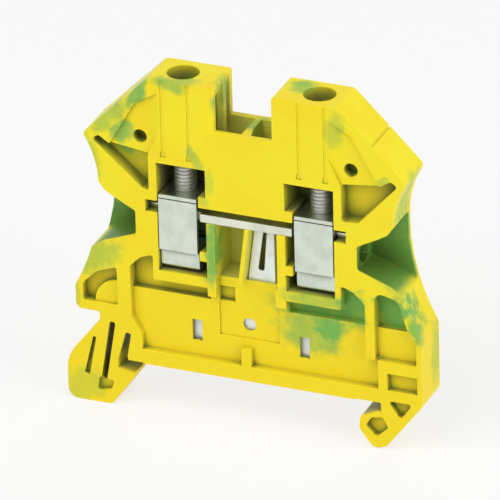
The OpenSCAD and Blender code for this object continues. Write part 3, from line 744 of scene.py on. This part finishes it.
def empty_tree(owner):
    """The node tree of a new material or world, with nothing in it."""
    owner.use_nodes = True
    owner.node_tree.nodes.clear()
    return owner.node_tree


def seen_rays(tree):
    """All for what the eye sees, also by way of metal or glass, and nothing for what lights the block."""
    rays = add_node(tree, "ShaderNodeLightPath", {}).outputs
    seen = calc(tree, "MAXIMUM", rays["Is Camera Ray"], rays["Is Glossy Ray"])
    return calc(tree, "MAXIMUM", seen, rays["Is Transmission Ray"])


def white_floor(look):
    """A pale floor that stays near white to the eye and keeps the block's shadow."""
    material = bpy.data.materials.new("white_floor")
    tree = empty_tree(material)
    matt = add_node(tree, "ShaderNodeBsdfDiffuse", {"Color": opaque(look.floor)})
    glow = add_node(tree, "ShaderNodeEmission", {"Color": WHITE, "Strength": 1.0})
    factor = product(tree, seen_rays(tree), look.glow)
    both = add_node(tree, "ShaderNodeMixShader", {0: factor, 1: matt.outputs[0], 2: glow.outputs[0]})
    add_node(tree, "ShaderNodeOutputMaterial", {"Surface": both.outputs[0]})
    return material


def white_room(look):
    """A world that looks white and lights the block softly from all around."""
    world = bpy.data.worlds.new("white_room")
    tree = empty_tree(world)
    soft = add_node(tree, "ShaderNodeBackground", {"Color": WHITE, "Strength": look.ambient})
    white = add_node(tree, "ShaderNodeBackground", {"Color": WHITE, "Strength": 1.0})
    inputs = {0: seen_rays(tree), 1: soft.outputs[0], 2: white.outputs[0]}
    both = add_node(tree, "ShaderNodeMixShader", inputs)
    add_node(tree, "ShaderNodeOutputWorld", {"Surface": both.outputs[0]})
    return world


def add_floor(look, level):
    """A wide floor at the block's lowest level."""
    bm = bmesh.new()
    bmesh.ops.create_grid(bm, x_segments=1, y_segments=1, size=FLOOR_HALF)
    bmesh.ops.translate(bm, verts=bm.verts, vec=(0, 0, level))
    mesh = mesh_of(bm, "floor")
    mesh.materials.append(white_floor(look))
    floor = bpy.data.objects.new("floor", mesh)
    bpy.context.scene.collection.objects.link(floor)


def looking(azimuth, elevation):
    """Direction from the block towards an eye at these angles."""
    level = math.cos(elevation)
    return Vector((math.sin(azimuth) * level, -math.cos(azimuth) * level, math.sin(elevation)))


def add_lamp(lamp, middle, watts):
    """A soft square lamp that faces the block."""
    light = bpy.data.lights.new(lamp.name, "AREA")
    light.energy = watts
    light.size = lamp.width
    holder = bpy.data.objects.new(lamp.name, light)
    holder.visible_glossy = False
    back = looking(math.radians(lamp.azimuth), math.radians(lamp.elevation))
    holder.location = middle + back * LAMP_DISTANCE
    holder.rotation_euler = (-back).to_track_quat("-Z", "Y").to_euler()
    bpy.context.scene.collection.objects.link(holder)


def add_camera(look, middle):
    """A camera that faces the block, turned a little about its line of sight."""
    lens = bpy.data.cameras.new("camera")
    lens.lens = lens.sensor_width * look.distance / look.picture
    camera = bpy.data.objects.new("camera", lens)
    back = looking(look.azimuth, look.elevation)
    camera.location = middle + back * look.distance
    camera.rotation_mode = "QUATERNION"
    turned = Quaternion((0, 0, 1), look.roll)
    camera.rotation_quaternion = (-back).to_track_quat("-Z", "Y") @ turned
    bpy.context.scene.collection.objects.link(camera)
    bpy.context.scene.camera = camera


# Operators

class EARTH_OT_mould_housing(bpy.types.Operator):
    """Rounds the edges of the moulded housing and colours its plastic"""

    bl_idname = "earth_block.mould_housing"
    bl_label = "Mould the housing"

    def execute(self, context):
        look = context.scene.housing_look
        bm = softened_copy("housing", look.edge_radius)
        stand_in(bm, "moulded_housing", "housing", marbled_plastic(look))
        return {"FINISHED"}


class EARTH_OT_stamp_conductors(bpy.types.Operator):
    """Rounds the edges of the current bar and the rail contact and tins them"""

    bl_idname = "earth_block.stamp_conductors"
    bl_label = "Stamp the bar and the rail contact"

    def execute(self, context):
        look = context.scene.metal_look
        kinds = (
            ("current_bar", look.tin, look.bar_sheen),
            ("rail_contact", look.contact_tin, look.contact_sheen),
        )
        for node, rgb, metallic in kinds:
            tin = plated_metal(
                f"tinned_{node}", rgb, look, ROLLED_ALONG, look.roughness, look.seams, metallic)
            bm = softened_copy(node, look.edge_radius)
            stand_in(bm, f"stamped_{node}", node, tin)
        return {"FINISHED"}


class EARTH_OT_fold_sleeves(bpy.types.Operator):
    """Rounds the edges of the two clamping sleeves and plates them"""

    bl_idname = "earth_block.fold_sleeves"
    bl_label = "Fold the clamping sleeves"

    def execute(self, context):
        look = context.scene.metal_look
        nickel = plated_metal(
            "nickel_plate", look.nickel, look, ROLLED_UPRIGHT, look.roughness, look.sleeve_seams)
        for side in SIDES:
            node = f"clamp_sleeve_{side}"
            bm = softened_copy(node, look.edge_radius)
            stand_in(bm, f"folded_sleeve_{side}", node, nickel)
        return {"FINISHED"}


class EARTH_OT_cut_screws(bpy.types.Operator):
    """Cuts the thread of the two clamping screws and plates them"""

    bl_idname = "earth_block.cut_screws"
    bl_label = "Cut the clamping screws"

    def execute(self, context):
        look = context.scene.metal_look
        zinc = plated_metal(
            "zinc_plate", look.zinc, look, ROLLED_ALONG, look.screw_roughness, look.screw_seams)
        for side in SIDES:
            node = f"clamp_screw_{side}"
            bm = threaded_screw(node, context.scene.thread_sizes, look.edge_radius)
            stand_in(bm, f"threaded_screw_{side}", node, zinc)
        return {"FINISHED"}


class EARTH_OT_set_stage(bpy.types.Operator):
    """Sets the floor, the lamps and the camera"""

    bl_idname = "earth_block.set_stage"
    bl_label = "Set the stage"

    def execute(self, context):
        look = context.scene.stage_look
        low, high = cad_box
        middle = (low + high) / 2
        add_floor(look, low.z)
        context.scene.world = white_room(look)
        context.scene.view_settings.view_transform = "Standard"
        for lamp in LAMPS:
            add_lamp(lamp, middle, getattr(look, lamp.name))
        add_camera(look, middle)
        return {"FINISHED"}


# Panel and registration

class EARTH_PT_block(bpy.types.Panel):
    """Lists the pieces of the earth block and what can be changed on them"""

    bl_idname = "EARTH_PT_block"
    bl_label = "Earth block"
    bl_space_type = "VIEW_3D"
    bl_region_type = "UI"
    bl_category = "Earth block"

    def draw(self, context):
        for operator in OPERATORS:
            self.layout.operator(operator.bl_idname)
        for setting in SETTINGS:
            group = getattr(context.scene, setting)
            box = self.layout.box()
            for name in group.bl_rna.properties.keys():
                if name not in {"rna_type", "name"}:
                    box.prop(group, name)


SETTINGS = {
    "housing_look": HousingLook,
    "metal_look": MetalLook,
    "thread_sizes": ThreadSizes,
    "stage_look": StageLook,
}
OPERATORS = (
    EARTH_OT_mould_housing,
    EARTH_OT_stamp_conductors,
    EARTH_OT_fold_sleeves,
    EARTH_OT_cut_screws,
    EARTH_OT_set_stage,
)
CLASSES = (*SETTINGS.values(), *OPERATORS, EARTH_PT_block)


def register():
    """Makes the settings, the operators and the panel known."""
    for cls in CLASSES:
        bpy.utils.register_class(cls)
    for setting, group in SETTINGS.items():
        setattr(bpy.types.Scene, setting, PointerProperty(type=group))


def unregister():
    """Takes the settings, the operators and the panel away again."""
    for setting in SETTINGS:
        delattr(bpy.types.Scene, setting)
    for cls in reversed(CLASSES):
        bpy.utils.unregister_class(cls)


def main():
    """Finishes every piece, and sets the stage."""
    register()
    bpy.ops.earth_block.mould_housing()
    bpy.ops.earth_block.stamp_conductors()
    bpy.ops.earth_block.fold_sleeves()
    bpy.ops.earth_block.cut_screws()
    bpy.ops.earth_block.set_stage()


if __name__ == "__main__":
    main()
